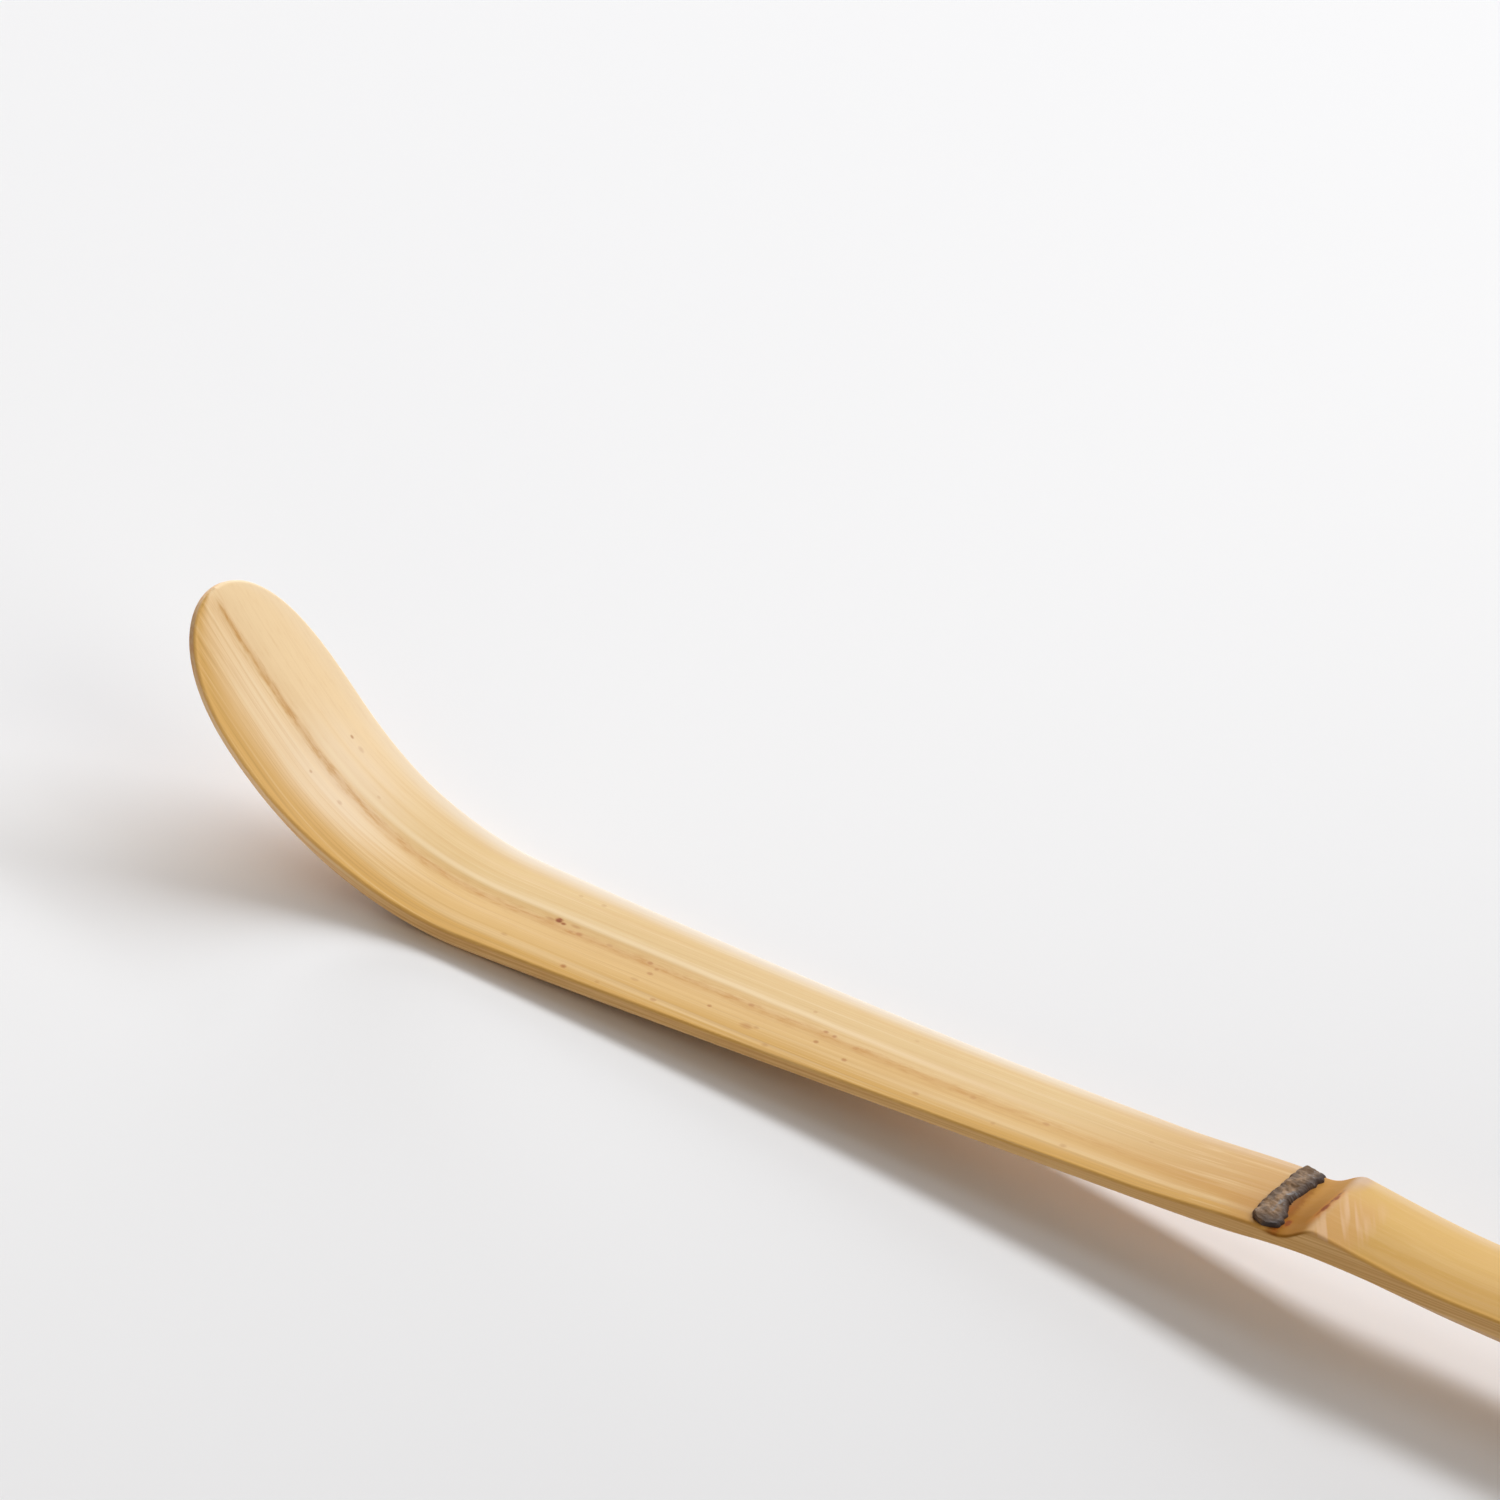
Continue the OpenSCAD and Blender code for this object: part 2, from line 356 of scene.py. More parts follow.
# Brown specks in the skin: place along and across, size along and across, darkness
SPECKS = (
    (32.62, 0.02, 0.26, 0.20, 1.00), (33.05, -0.10, 0.18, 0.12, 0.80), (32.1, -0.12, 0.34, 0.12, 0.40),
    (33.9, 0.06, 0.34, 0.10, 0.40), (34.5, -0.42, 0.22, 0.13, 0.55), (33.9, -0.5, 0.16, 0.10, 0.30),
    (35.5, -3.45, 0.20, 0.14, 0.65), (36.8, -0.3, 0.22, 0.10, 0.30), (40.0, -0.4, 0.18, 0.13, 0.55),
    (40.7, -0.7, 0.14, 0.10, 0.40), (40.6, -1.25, 0.20, 0.12, 0.50), (42.2, -3.2, 0.20, 0.12, 0.40),
    (40.1, -2.2, 0.28, 0.12, 0.25), (45.6, -1.9, 0.14, 0.11, 0.55), (47.8, -0.5, 0.20, 0.12, 0.45),
    (48.7, -2.3, 0.42, 0.22, 0.40), (49.3, -2.15, 0.20, 0.12, 0.35), (50.7, -3.2, 0.22, 0.14, 0.30),
    (51.6, 1.0, 0.14, 0.10, 0.35), (53.3, -0.3, 0.17, 0.12, 0.60), (54.0, -0.4, 0.15, 0.12, 0.60),
    (53.3, -1.4, 0.16, 0.12, 0.60), (55.8, -1.95, 0.17, 0.12, 0.60), (55.8, -0.7, 0.20, 0.12, 0.30),
    (61.4, -2.4, 0.22, 0.12, 0.35), (64.7, -1.0, 0.20, 0.13, 0.30), (70.0, -0.9, 0.22, 0.12, 0.35),
    (72.0, -2.1, 0.22, 0.14, 0.30), (34.1, 2.8, 0.18, 0.12, 0.30), (32.3, 2.8, 0.15, 0.10, 0.25),
    (13.1, 2.7, 0.14, 0.09, 0.60), (14.1, 2.6, 0.24, 0.14, 0.22), (13.1, -1.6, 0.12, 0.09, 0.40),
    (15.8, -1.5, 0.18, 0.12, 0.25), (17.2, 1.0, 0.14, 0.10, 0.20), (30.5, -2.9, 0.20, 0.12, 0.25),
    (38.2, -3.6, 0.16, 0.10, 0.25), (58.6, 1.9, 0.14, 0.09, 0.20), (67.1, -2.4, 0.15, 0.10, 0.25),
    (76.5, 0.8, 0.16, 0.10, 0.20), (104.0, -1.2, 0.22, 0.13, 0.35), (121.0, 0.9, 0.26, 0.15, 0.40),
    (139.0, -0.6, 0.20, 0.13, 0.35), (158.0, 1.2, 0.24, 0.13, 0.35), (89.75, -0.62, 0.22, 0.36, 1.10),
    (89.97, 0.38, 0.14, 0.30, 0.90), (89.6, -1.15, 0.14, 0.30, 0.60), (87.95, -1.95, 0.22, 0.34, 1.00),
    (87.5, -2.5, 0.20, 0.40, 0.80), (87.4, -0.9, 0.16, 0.50, 0.50),
)


FIBRE_RELIEF = 0.02 * MM
FLAKE_RELIEF = 0.08 * MM


def bamboo_finish():
    """Skin of the strip in the colours along it, with its browner cut sides and back."""
    f = Finish("polished_bamboo", Specular_IOR_Level=0.22)
    blank = f.attribute("blank", "Vector")
    cut = f.attribute("cut", "Fac")
    share = f.attribute("share", "Fac")
    along, across, _ = f.parts(blank)

    streaks = f.grain(blank, (0.012, 1.2, 0.6), 3, 0.5)
    fine_streaks = f.grain(blank, (0.035, 5.0, 3.0), 3, 0.6, (3, 0, 0))
    hairs = f.grain(blank, (0.16, 15.0, 9.0), 2, 0.6, (11, 4, 0))
    clouds = f.grain(blank, (0.09, 0.5, 0.3), 3, 0.5, (5, 2, 0))
    spots = f.grain(blank, (1.6, 2.4, 0.0), 3, 0.6, (2, 7, 0))
    mottle = f.grain(blank, (0.7, 4.0, 0.0), 4, 0.65, (8, 3, 0))

    # Skin from the tip to the tail, on the far side and on the near side of the groove
    shaft = f.rise(along, 12, 25)
    before_node = f.rise(along, 68, 86)
    handle = f.rise(along, SCAR_END, RIDGE_CREST + 1.5)
    far_tone = f.mix(shaft, ink(242, 213, 169), ink(220, 187, 129))
    far_tone = f.mix(before_node, far_tone, ink(202, 155, 84))
    far_tone = f.mix(handle, far_tone, ink(212, 169, 89))
    near_tone = f.mix(shaft, ink(240, 208, 162), ink(224, 184, 118))
    near_tone = f.mix(before_node, near_tone, ink(200, 147, 66))
    near_tone = f.mix(handle, near_tone, ink(198, 152, 66))
    colour = f.mix(f.rise(share + (streaks - 0.5) * 0.3, 0.3, -0.45), far_tone, near_tone)

    # Golden towards the near edge, with darker fibres in it
    golden = f.rise(share + (clouds - 0.5) * 0.22 + (fine_streaks - 0.5) * 0.16, -0.42, -0.88)
    edge_tone = f.mix(shaft, ink(216, 169, 92), ink(213, 165, 82))
    edge_tone = f.mix(handle, edge_tone, ink(196, 150, 68))
    edge_tone = f.mix(f.rise(fine_streaks, 0.52, 0.36) * 0.5, edge_tone, ink(190, 144, 70))
    # Painted light: the rounded near edge itself is lifted paler, where it turns to the front
    edge_tone = f.mix(f.rise(share, -0.86, -0.98), edge_tone, ink(228, 180, 100))
    colour = f.mix(golden * 0.92, colour, edge_tone)

    # Streaks along the fibres, faint on the far half of the tip and on the handle
    plain = (1 - f.rise(share, -0.15, 0.1) * f.rise(along, 26, 14) * 0.7) * (1 - 0.75 * handle)
    colour = f.mix(f.rise(streaks, 0.52, 0.68) * plain * 0.35, colour, ink(243, 217, 170))
    colour = f.mix(f.rise(streaks, 0.46, 0.30) * plain * 0.30, colour, ink(216, 173, 106))
    colour = f.mix(f.rise(fine_streaks, 0.50, 0.32) * plain * 0.26, colour, ink(203, 156, 92))
    colour = f.mix(f.rise(fine_streaks, 0.54, 0.70) * plain * 0.22, colour, ink(247, 226, 186))
    colour = f.mix(f.rise(hairs, 0.47, 0.30) * plain * 0.16, colour, ink(190, 142, 84))
    colour = f.mix(f.rise(clouds, 0.52, 0.72) * 0.14, colour, ink(214, 168, 100))
    colour = f.mix(f.rise(mottle, 0.50, 0.74) * 0.16, colour, ink(214, 166, 98))

    # Painted highlights: a pale streaky band between the groove and the golden edge, and a sheen over the
    # bend
    pale = f.band(share, -0.50, -0.16, 0.13) * f.rise(along, 1, 8) * f.rise(along, 25, 16)
    colour = f.mix(pale * (0.34 + 0.34 * f.rise(fine_streaks, 0.36, 0.6)), colour, ink(243, 219, 184))
    bend_sheen = f.band(along, 11, 18, 3) * f.band(share, -0.55, 0.55, 0.2)
    colour = f.mix(bend_sheen * (0.10 + 0.28 * f.rise(streaks, 0.35, 0.6)), colour, ink(240, 220, 196))

    # The groove: a mottled brown line in its floor that drifts to the near side, soft towards the near edge,
    # partly stain and partly painted shade of the groove, and a painted highlight as a pale shoulder on its
    # far side
    wander = f.grain(blank, (0.10, 0.0, 0.0), 2, 0.5, (9, 0, 0)) - 0.5
    line_y = (-0.12 - 0.16 * f.rise(along, 7, 2) - 0.30 * f.rise(along, 10, 23)
              - 0.45 * f.rise(along, 40, 72))
    from_line = across - line_y + wander * 0.25
    widening = f.rise(along, 14, 24)
    groove = f.rise(along, 0.2, 1.6) * f.rise(along, 92, 70)
    tail_off = 1 - 0.45 * f.rise(along, 54, 76)
    dark = f.rise(from_line, -0.9, -0.05) * f.rise(from_line, 0.40 + 0.35 * widening, 0.05)
    core = f.band(from_line, -0.34, 0.10, 0.22)
    groove_stain_and_shade = dark * (0.16 + 0.32 * f.rise(mottle, 0.42, 0.66)) + core * (0.14 + 0.30 * mottle)
    colour = f.mix(groove_stain_and_shade * groove * tail_off, colour, ink(196, 138, 58))
    shoulder_highlight = f.band(from_line, 0.58 + 0.22 * widening, 0.86 + 0.36 * widening, 0.22)
    shoulder_share = groove * f.rise(along, 8, 15) * f.rise(along, 80, 50) * 0.5
    colour = f.mix(shoulder_highlight * shoulder_share, colour, ink(248, 226, 188))

    # Beyond the groove a pale streak runs on in the near half
    beside = f.band(share + 0.05 * wander, -0.72, -0.52, 0.1) * f.rise(along, 52, 66) * f.rise(along, 85, 76)
    colour = f.mix(beside * 0.4, colour, ink(240, 210, 160))

    # Painted highlight: pale along the far edge, where the rounded skin turns to the light
    rim = f.rise(share, 0.64, 0.98) * (0.15 + 0.5 * f.rise(along, 8, 28)) * (1 - 0.65 * f.rise(along, 62, 82))
    colour = f.mix(rim, colour, ink(237, 230, 222))

    # Node: darker before the scar, a golden brown hollow behind it with a scorched rim,
    # a reddish line at the foot of the ridge, which is greyer at its far end, and a tan ridge
    scar_front = f.rise(along, 82.5, 85.8) * (0.15 + 0.4 * f.rise(share, 0.35, -0.4)) * (1 - handle)
    colour = f.mix(scar_front, colour, ink(188, 134, 62))
    hollow = f.band(along, SCAR_END - 0.3, RIDGE_CREST - 0.6, 0.4)
    hollow_tone = f.mix(f.rise(share, 0.7, -0.6), ink(190, 134, 54), ink(162, 104, 8))
    colour = f.mix(hollow * 0.85, colour, hollow_tone)
    scorch = f.band(along - 0.7 * (spots - 0.5), SCAR_END - 0.5, SCAR_END + 0.15, 0.22)
    colour = f.mix(scorch * f.rise(share, 0.9, 0.2) * 0.7, colour, ink(146, 84, 20))
    foot = along - RIDGE_CREST + 0.68 - 0.12 * across + (mottle - 0.5) * 0.3
    warm_foot = f.band(foot, -0.32, 0.34, 0.25) * f.band(across, -1.9, 1.3, 0.6)
    colour = f.mix(warm_foot * 0.6, colour, ink(204, 128, 38))
    red_line = f.band(foot, -0.12, 0.06, 0.12) * f.band(across, -1.1, 1.2, 0.5)
    colour = f.mix(red_line * (0.5 + 0.5 * f.rise(mottle, 0.4, 0.6)), colour, ink(116, 52, 4))
    grey_foot = f.band(foot, -0.3, 0.8, 0.35) * f.rise(share, 0.25, 0.85)
    colour = f.mix(grey_foot * 0.5, colour, ink(190, 160, 146))
    ridge_face = f.band(along, RIDGE_CREST - 0.4, RIDGE_CREST + 2.4, 0.8) * f.rise(share, 0.65, 0.05)
    colour = f.mix(ridge_face * 0.45, colour, ink(206, 152, 90))

    # Pale scrape marks slant over the ridge towards the near edge
    scrapes = f.node("ShaderNodeCombineXYZ", None, {0: along * 0.81 + across * 0.59, 1: across * 0.22})
    marks = f.grain(scrapes, (2.3, 1.0, 1.0), 1, 0.5, (0.3, 0, 0))
    colour = f.mix(ridge_face * f.rise(marks, 0.44, 0.64) * 0.5, colour, ink(226, 190, 156))

    # The specks, each with a blotchy outline, and darker in the middle of the strongest
    flecks = None
    for s, y, long, broad, dark_share in SPECKS:
        away = ((along - s) / long) ** 2 + ((across - y) / broad) ** 2 + (mottle - 0.5) * 2.2
        fleck = f.rise(away, 2.3, -0.2) * dark_share
        flecks = fleck if flecks is None else flecks.top(fleck)
    colour = f.mix(flecks, colour, ink(172, 96, 14))
    colour = f.mix(f.rise(flecks, 0.5, 1.0) * 0.7, colour, ink(128, 54, 0))

    # Cut sides and back: browner, with the fibre bundles as thin lines
    bundles = f.grain(blank, (0.025, 2.5, 6.0), 3, 0.55, (6, 0, 2))
    side_dark = f.mix(shaft, ink(238, 188, 138), ink(206, 160, 98))
    side_pale = f.mix(shaft, ink(248, 218, 172), ink(232, 194, 136))
    between = f.rise(bundles, 0.30, 0.70)
    side = f.mix(between, side_dark, side_pale)
    bevel = f.mix(between, ink(204, 160, 108), ink(238, 206, 164))
    back = f.mix(between, ink(200, 144, 72), ink(220, 168, 96))
    colour = f.mix(f.rise(cut, 0.55, 1.0), colour, side)
    colour = f.mix(f.rise(cut, 1.05, 1.30), colour, bevel)
    colour = f.mix(f.rise(cut, 1.80, 1.98), colour, back)
    f.drive("Base Color", colour)

    sawn = f.rise(cut, 0.4, 0.9)
    f.drive("Roughness", 0.36 + 0.16 * fine_streaks + 0.08 * clouds + sawn * 0.2 + hollow * 0.25)
    relief = fine_streaks * 0.5 + hairs * 0.3 + bundles * sawn * 1.2
    f.drive("Normal", f.bump(relief, FIBRE_RELIEF, 0.6))
    return f.material


def scar_finish():
    """Dry brown sheath: blotched, blackish along its torn rear rim, with a few painted bluish glints."""
    f = Finish("dry_sheath", Specular_IOR_Level=0.35)
    blank = f.attribute("blank", "Vector")
    rim = f.attribute("rim", "Fac")
    rear = f.attribute("rear", "Fac")
    _, across, _ = f.parts(blank)
    fibres = f.grain(blank, (1.3, 2.0, 1.0), 3, 0.65)
    patches = f.grain(blank, (1.2, 0.8, 0.5), 3, 0.6, (4, 1, 0))
    colour = f.mix(f.rise(fibres, 0.36, 0.64), ink(100, 76, 52), ink(150, 118, 84))
    colour = f.mix(f.rise(patches, 0.42, 0.62) * 0.6, colour, ink(86, 66, 50))
    torn = f.rise(rear + (fibres - 0.5) * 0.35, 0.60, 0.95)
    colour = f.mix(torn * 0.75, colour, ink(48, 42, 46))
    # Painted highlight: a few bluish glints towards the rear rim
    painted_glint = f.rise(rear, 0.4, 0.7) * f.rise(patches, 0.44, 0.56) * f.rise(fibres, 0.50, 0.66)
    colour = f.mix(painted_glint * 0.55, colour, ink(156, 166, 176))
    near_end = f.rise(across, -1.9, -2.7) * f.rise(rear, 0.25, 0.7)
    colour = f.mix(near_end * 0.7, colour, ink(40, 36, 42))
    front_line = f.rise(rear, 0.14, 0.02)
    colour = f.mix(front_line * 0.75, colour, ink(92, 62, 44))
    colour = f.mix(f.rise(rim, 0.55, 0.95) * 0.6, colour, ink(58, 42, 34))
    f.drive("Base Color", colour)
    f.drive("Roughness", 0.45 + 0.4 * patches)
    f.drive("Normal", f.bump(fibres * 0.6 + patches, FLAKE_RELIEF, 0.7))
    return f.material


# Pieces

SHARP_EDGE = math.radians(38)


def finished(name, bm, material, body="root"):
    """Object from a bmesh whose vertices are already in place, riding on its body."""
    bmesh.ops.recalc_face_normals(bm, faces=bm.faces)
    mesh = bpy.data.meshes.new(name)
    bm.to_mesh(mesh)
    bm.free()
    mesh.materials.append(material)
    mesh.shade_smooth()
    mesh.set_sharp_from_angle(angle=SHARP_EDGE)
    made = bpy.data.objects.new(name, mesh)
    bpy.context.scene.collection.objects.link(made)
    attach(made, body)
    return made


# Round the section, from the far edge over the skin and back below:
# what each point lies on, and how far along that it is
SKIN, ROUND, WALL, BEVEL, BACK = range(5)
HALF_SKIN = 32
ROUND_STEPS = 5
SIDE_STEPS = 4
BACK_STEPS = 10
SECTION = (
    [(SKIN, t * (0.6 + 0.4 * t * t), 1) for t in (1 - k / HALF_SKIN for k in range(2 * HALF_SKIN + 1))]
    + [(ROUND, k / ROUND_STEPS, -1) for k in range(1, ROUND_STEPS + 1)]
    + [(WALL, k / SIDE_STEPS, -1) for k in range(1, SIDE_STEPS + 1)]
    + [(BEVEL, k / SIDE_STEPS, -1) for k in range(1, SIDE_STEPS + 1)]
    + [(BACK, -1 + 2 * k / BACK_STEPS, 1) for k in range(1, BACK_STEPS)]
    + [(BEVEL, 1 - k / SIDE_STEPS, 1) for k in range(SIDE_STEPS)]
    + [(WALL, 1 - k / SIDE_STEPS, 1) for k in range(SIDE_STEPS)]
    + [(ROUND, 1 - k / ROUND_STEPS, 1) for k in range(ROUND_STEPS)]
)
# The first section is so near the end of the tip that the outline closes without a nick
TIP_FIRST = 0.00002
TIP_SECTIONS = 60
TAIL_ROUND = 0.15
TAIL_SECTIONS = 4


def station(s, kind, t, side):
    """(along, across, height, cut) of one point of the section at s.
    Points inside the outline are set in square to it, so the rounding runs on round the tip."""
    half, thick, rise = half_width(s), thickness(s), swelling(s)
    before, after = max(s - NUDGE, NUDGE / 2), s + NUDGE
    turn = (half_width(after) - half_width(before)) / (after - before)
    long = math.hypot(1, turn)
    edge = min(EDGE_ROUND, half + 0.05)
    inset = min(BEVEL_INSET, half + 0.1)
    wall = -thick * (1 - BEVEL_SHARE)

    def inward(depth):
        return s + depth * turn / long, max(half - depth / long, 0)

    if kind == SKIN:
        at, reach = inward(edge)
        return at, reach * t, skin(at, reach * t), 0
    if kind == ROUND:
        at, reach = inward(edge * (1 - math.sin(t * math.pi / 2)))
        inner_at, inner = inward(edge)
        crown = skin(inner_at, inner) - rise
        return at, side * reach, rise + crown * (1 - t) - edge * (1 - math.cos(t * math.pi / 2)), t
    if kind == WALL:
        at, reach = inward(0)
        return at, side * reach, (rise - edge) * (1 - t) + wall * t, 1
    if kind == BEVEL:
        at, reach = inward(inset * t)
        return at, side * reach, wall * (1 - t) - thick * t, 1 + t
    at, reach = inward(inset)
    return at, reach * t, -thick, 2


def strip_places():
    """Where the strip gets a section: packed at the tip and the node."""
    places = [
        TIP_FIRST + (TIP_ROUND - TIP_FIRST) * (1 - math.cos(math.pi / 2 * k / TIP_SECTIONS))
        for k in range(TIP_SECTIONS)
    ]
    for start, end, step in (
        (TIP_ROUND, BEND_END + 4, 0.4), (BEND_END + 4, NODE_DISTANCE - FLARE_LENGTH, 0.8),
        (NODE_DISTANCE - FLARE_LENGTH, NODE_DISTANCE, 0.4), (NODE_DISTANCE, KINK_END, 0.12),
        (KINK_END, KINK_END + 8, 0.4), (KINK_END + 8, STRIP_LENGTH - TAIL_ROUND, 1.0),
    ):
        count = round((end - start) / step)
        places += [start + (end - start) * k / count for k in range(count)]
    return places + [
        STRIP_LENGTH - TAIL_ROUND * (1 - math.sin(math.pi / 2 * k / TAIL_SECTIONS))
        for k in range(TAIL_SECTIONS + 1)
    ]


def make_strip():
    """A ring of the section's points is drawn out into a straight blank, which is then carved and bent."""
    places = strip_places()
    bm = bmesh.new()
    bmesh.ops.create_circle(bm, cap_ends=False, segments=len(SECTION), radius=1)
    order = {v: k for k, v in enumerate(sorted(bm.verts, key=lambda v: math.atan2(v.co.y, v.co.x)))}
    for v, k in order.items():
        angle = 2 * math.pi * k / len(SECTION)
        v.co = (0, math.cos(angle), math.sin(angle))
    bmesh.ops.spin(
        bm, geom=bm.edges[:], cent=(0, 0, 0), axis=(1, 0, 0), dvec=(1, 0, 0),
        angle=0, steps=len(places) - 1, use_merge=False, use_duplicate=False,
    )
    ends = [e for e in bm.edges if e.is_boundary]
    bmesh.ops.holes_fill(bm, edges=ends, sides=0)
    blank = bm.verts.layers.float_vector.new("blank")
    cut = bm.verts.layers.float.new("cut")
    share = bm.verts.layers.float.new("share")
    for v in bm.verts:
        ring = round(v.co.x)
        k = round(math.atan2(v.co.z, v.co.y) / (2 * math.pi) * len(SECTION)) % len(SECTION)
        s = places[ring]
        at, y, n, depth = station(s, *SECTION[k])
        to_tail = STRIP_LENGTH - s
        if to_tail < TAIL_ROUND:  # the cut tail has its edges just broken
            pull = TAIL_ROUND * (1 - math.sqrt(max(0, 1 - (1 - to_tail / TAIL_ROUND) ** 2)))
            half, thick = half_width(s), thickness(s)
            y *= 1 - pull / half
            n += (-thick / 2 - n) * pull / (thick / 2)
        v[blank] = (at, y, n)
        v[cut] = depth
        v[share] = y / max(half_width(at), 0.2)
        v.co = place(at, y, n)
    return finished("carved_strip", bm, bamboo_finish())


# Torn rims of the scar as (place across, place along): the rim towards the tip, then the rear one
FRONT_RIM = (
    (-2.9, 86.25), (-2.6, 85.78), (-1.8, 85.62), (-0.6, 85.66), (0.8, 85.78), (2.2, 85.85), (3.1, 86.05),
)
REAR_RIM = (
    (-2.9, 87.2), (-2.5, 87.62), (-1.9, 87.72), (-1.3, 87.5), (-0.6, 87.24), (0.1, 87.2),
    (0.8, 87.36), (1.6, 87.48), (2.4, 87.64), (3.1, 87.5),
)
SCAR_ALONG = 28
SCAR_ACROSS = 130
# How deep the scar sits in the skin, how far in its rim is rounded and tinted,
# and the share of its breadth over which its near end is drawn in to a rounded corner
SCAR_SEAT = 0.12
RIM_ROUND = 0.22
RIM_TINT = 0.32
NEAR_CORNER = 0.09


def ripple(s, y, lift=0.0):
    """Soft noise from about -1 to 1."""
    return noise.noise(Vector((s, y, lift)))


def make_scar():
    """The rough remains of the sheath: a torn patch that stands on the skin of the node."""
    near_end = -half_width(NODE_DISTANCE) + SCAR_MARGIN * 0.5
    far_end = half_width(NODE_DISTANCE) - 0.03
    bm = bmesh.new()
    bmesh.ops.create_grid(bm, x_segments=SCAR_ALONG, y_segments=SCAR_ACROSS, size=1)
    lifted = bmesh.ops.extrude_face_region(bm, geom=bm.faces[:])["geom"]
    bmesh.ops.translate(bm, verts=[v for v in lifted if isinstance(v, bmesh.types.BMVert)], vec=(0, 0, 1))
    blank = bm.verts.layers.float_vector.new("blank")
    rim = bm.verts.layers.float.new("rim")
    to_rear = bm.verts.layers.float.new("rear")
    for v in bm.verts:
        u, w = (v.co.x + 1) / 2, (v.co.y + 1) / 2
        y = near_end + (far_end - near_end) * w
        front = through(FRONT_RIM, y) + 0.10 * ripple(y * 3.1, 0.0, 4.0)
        rear = through(REAR_RIM, y) + 0.16 * ripple(y * 2.6, 7.0) + 0.05 * ripple(y * 9.0, 3.0)
        drawn_in = math.sqrt(max(0, 1 - (1 - w / NEAR_CORNER) ** 2)) if w < NEAR_CORNER else 1
        middle, reach = (front + rear) / 2, (rear - front) / 2
        s = middle + reach * max(drawn_in, 0.05) * (2 * u - 1)
        from_front, from_rear = s - (middle - reach * drawn_in), (middle + reach * drawn_in) - s
        to_rim = max(0, min(from_front, from_rear, (y - near_end) * 1.5, (far_end - y) * 2))
        rounded = min(1, to_rim / RIM_ROUND) ** 0.55
        flaky = (
            0.80 + 0.36 * ripple(s * 1.2, y) + 0.18 * ripple(s * 2.6, y * 2.4, 5.0)
            + 0.07 * ripple(s * 6.0, y * 6.0, 9.0)
        )
        half = half_width(s)
        over_edge = max(0, abs(y) - (half - EDGE_ROUND))
        turned_down = EDGE_ROUND - math.sqrt(max(0, EDGE_ROUND**2 - over_edge**2))
        base = skin(s, max(-half, min(half, y))) - turned_down
        n = base + SCAR_HEIGHT * rounded * flaky if v.co.z > 0.5 else base - SCAR_SEAT
        v[blank] = (s, y, n)
        v[rim] = 1 - min(1, to_rim / RIM_TINT)
        v[to_rear] = u
        v.co = place(s, y, n)
    return finished("sheath_scar_flake", bm, scar_finish())


strip = make_strip()
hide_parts("bamboo_strip")
scar = make_scar()
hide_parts("sheath_scar")

# Floor, light and camera

TABLE_REACH = 2
floor_mesh = bpy.data.meshes.new("table_top")
bm = bmesh.new()
bmesh.ops.create_grid(bm, x_segments=2, y_segments=2, size=TABLE_REACH)
bm.to_mesh(floor_mesh)
bm.free()
# Painted shade: the paper darkens a little towards the viewer and the handle, where the light falls off, as
# it does in the photograph
table_finish = Finish("pale_table", Roughness=0.9, Specular_IOR_Level=0.2)
spot = table_finish.node("ShaderNodeTexCoord", out="Object")
table_x, table_y, _ = table_finish.parts(spot)
painted_falloff_shade = table_finish.rise(table_x * 0.881 - table_y * 0.472, -0.0925, 0.2)
table_finish.drive("Base Color", table_finish.mix(painted_falloff_shade, ink(242, 242, 243), ink(178, 178, 181)))
floor_mesh.materials.append(table_finish.material)
table_top = bpy.data.objects.new("table_top", floor_mesh)
bpy.context.scene.collection.objects.link(table_top)

LIT_SPOT = Vector((-0.04, 0, 0))


def soft_lamp(name, towards, distance, long, broad, watts, colour):
    """A soft box that looks at the scoop from the given direction."""
    light = bpy.data.lights.new(name, "AREA")
    light.shape = "RECTANGLE"
    light.size, light.size_y = long, broad
    light.energy = watts
    light.color = colour
    lamp = bpy.data.objects.new(name, light)
    towards = Vector(towards).normalized()
    lamp.location = LIT_SPOT + towards * distance
    lamp.rotation_euler = (-towards).to_track_quat("-Z", "Y").to_euler()
    bpy.context.scene.collection.objects.link(lamp)


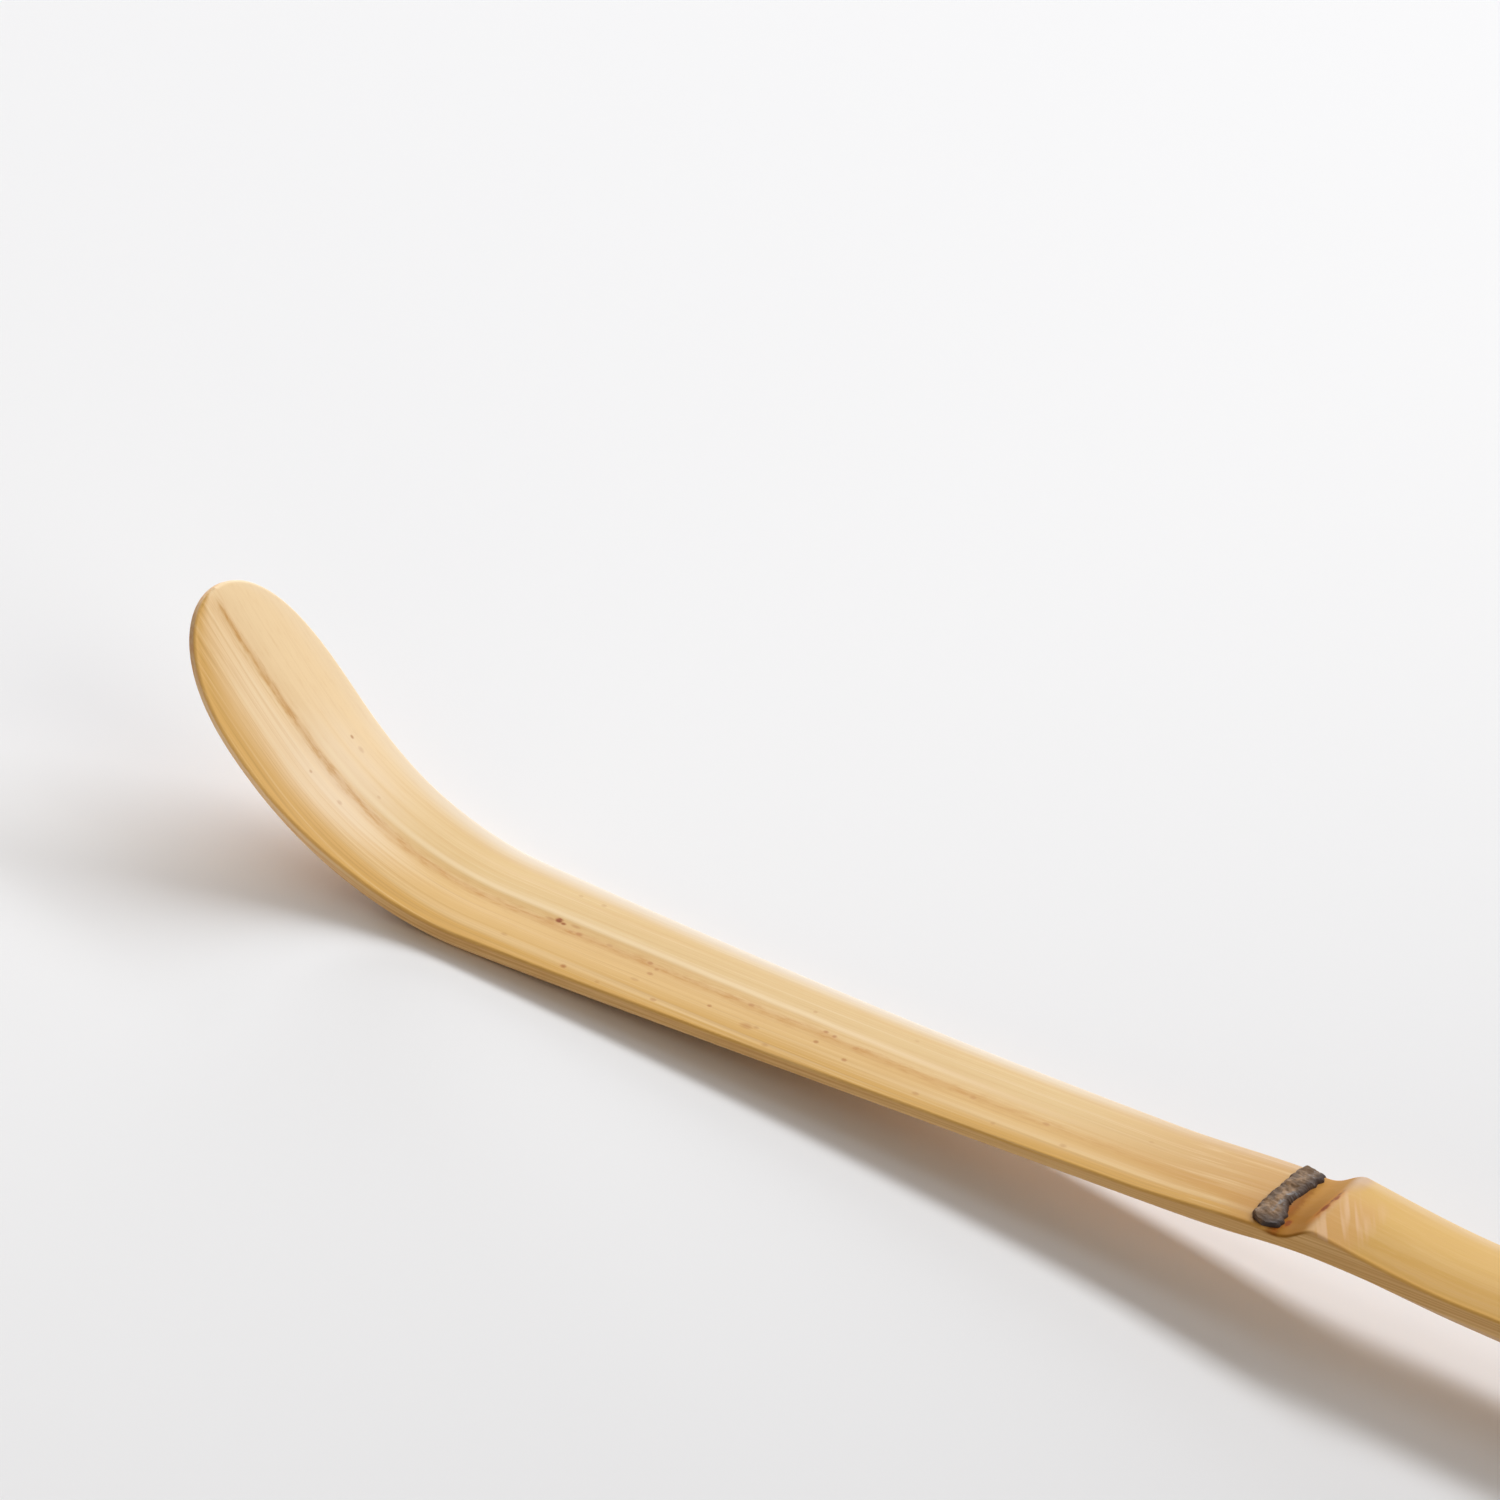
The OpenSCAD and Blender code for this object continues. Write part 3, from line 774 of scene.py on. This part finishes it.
# A long soft box stands behind the scoop, a lower one at its tip's side and a weak one overhead.
# A pale board on the handle's side lights the hollow of the raised tip, and a warm one in front
# lights the cut side
soft_lamp("soft_box", (0.121, 0.69, 0.72), 2.0, 3.2, 0.34, 43.0, (0.96, 1.0, 1.04))
soft_lamp("low_window", (-0.6, 0.75, 0.28), 2.0, 1.6, 0.7, 19.0, (0.985, 1.0, 1.02))
soft_lamp("overhead", (0.12, 0.42, 0.90), 2.0, 3.0, 0.5, 7.0, (0.94, 1.0, 1.05))
soft_lamp("pale_board", (0.85, -0.1, 0.5), 1.0, 0.6, 0.6, 2.4, (1.03, 1.0, 0.9))
soft_lamp("front_board", (0.2, -0.94, 0.28), 2.0, 2.0, 0.8, 5.0, (1.15, 1.0, 0.75))

# A little warm light from all round, and a pale backdrop where the camera sees past the table
FILL = 0.06
FILL_COLOUR = (1.5, 1.0, 0.7, 1)
world = bpy.data.worlds.new("pale_room")
bpy.context.scene.world = world
world.use_nodes = True
room = Nodes(world.node_tree)
room.tree.nodes.remove(room.tree.nodes["Background"])
fill = room.node("ShaderNodeBackground", None, {"Color": FILL_COLOUR, "Strength": FILL})
backdrop = room.node("ShaderNodeBackground", None, {"Color": ink(240, 240, 242)})
seen = room.node("ShaderNodeLightPath", out="Is Camera Ray")
either = room.node("ShaderNodeMixShader", None, {0: seen, 1: fill, 2: backdrop})
room.tree.links.new(either.socket, room.tree.nodes["World Output"].inputs["Surface"])

# The camera looks down on the raised tip from the near side, with the handle running out of the frame
CAMERA_TURN = math.radians(35.166)
CAMERA_RISE = math.radians(38.469)
CAMERA_AIM = Vector((-64.616, 22.826, 0)) * MM
CAMERA_DISTANCE = 535.23 * MM
PHOTO_SIDE = 1500
FOCAL_PIXELS = 8254.9
SENSOR_WIDTH = 36
towards = Vector((
    math.sin(CAMERA_TURN) * math.cos(CAMERA_RISE),
    -math.cos(CAMERA_TURN) * math.cos(CAMERA_RISE),
    math.sin(CAMERA_RISE),
))
lens = bpy.data.cameras.new("camera")
lens.sensor_width = SENSOR_WIDTH
lens.lens = FOCAL_PIXELS / PHOTO_SIDE * SENSOR_WIDTH
lens.clip_start = 0.01
camera = bpy.data.objects.new("camera", lens)
camera.location = CAMERA_AIM + towards * CAMERA_DISTANCE
camera.rotation_euler = (-towards).to_track_quat("-Z", "Y").to_euler()
bpy.context.scene.collection.objects.link(camera)
bpy.context.scene.camera = camera
bpy.context.scene.view_settings.view_transform = "Standard"
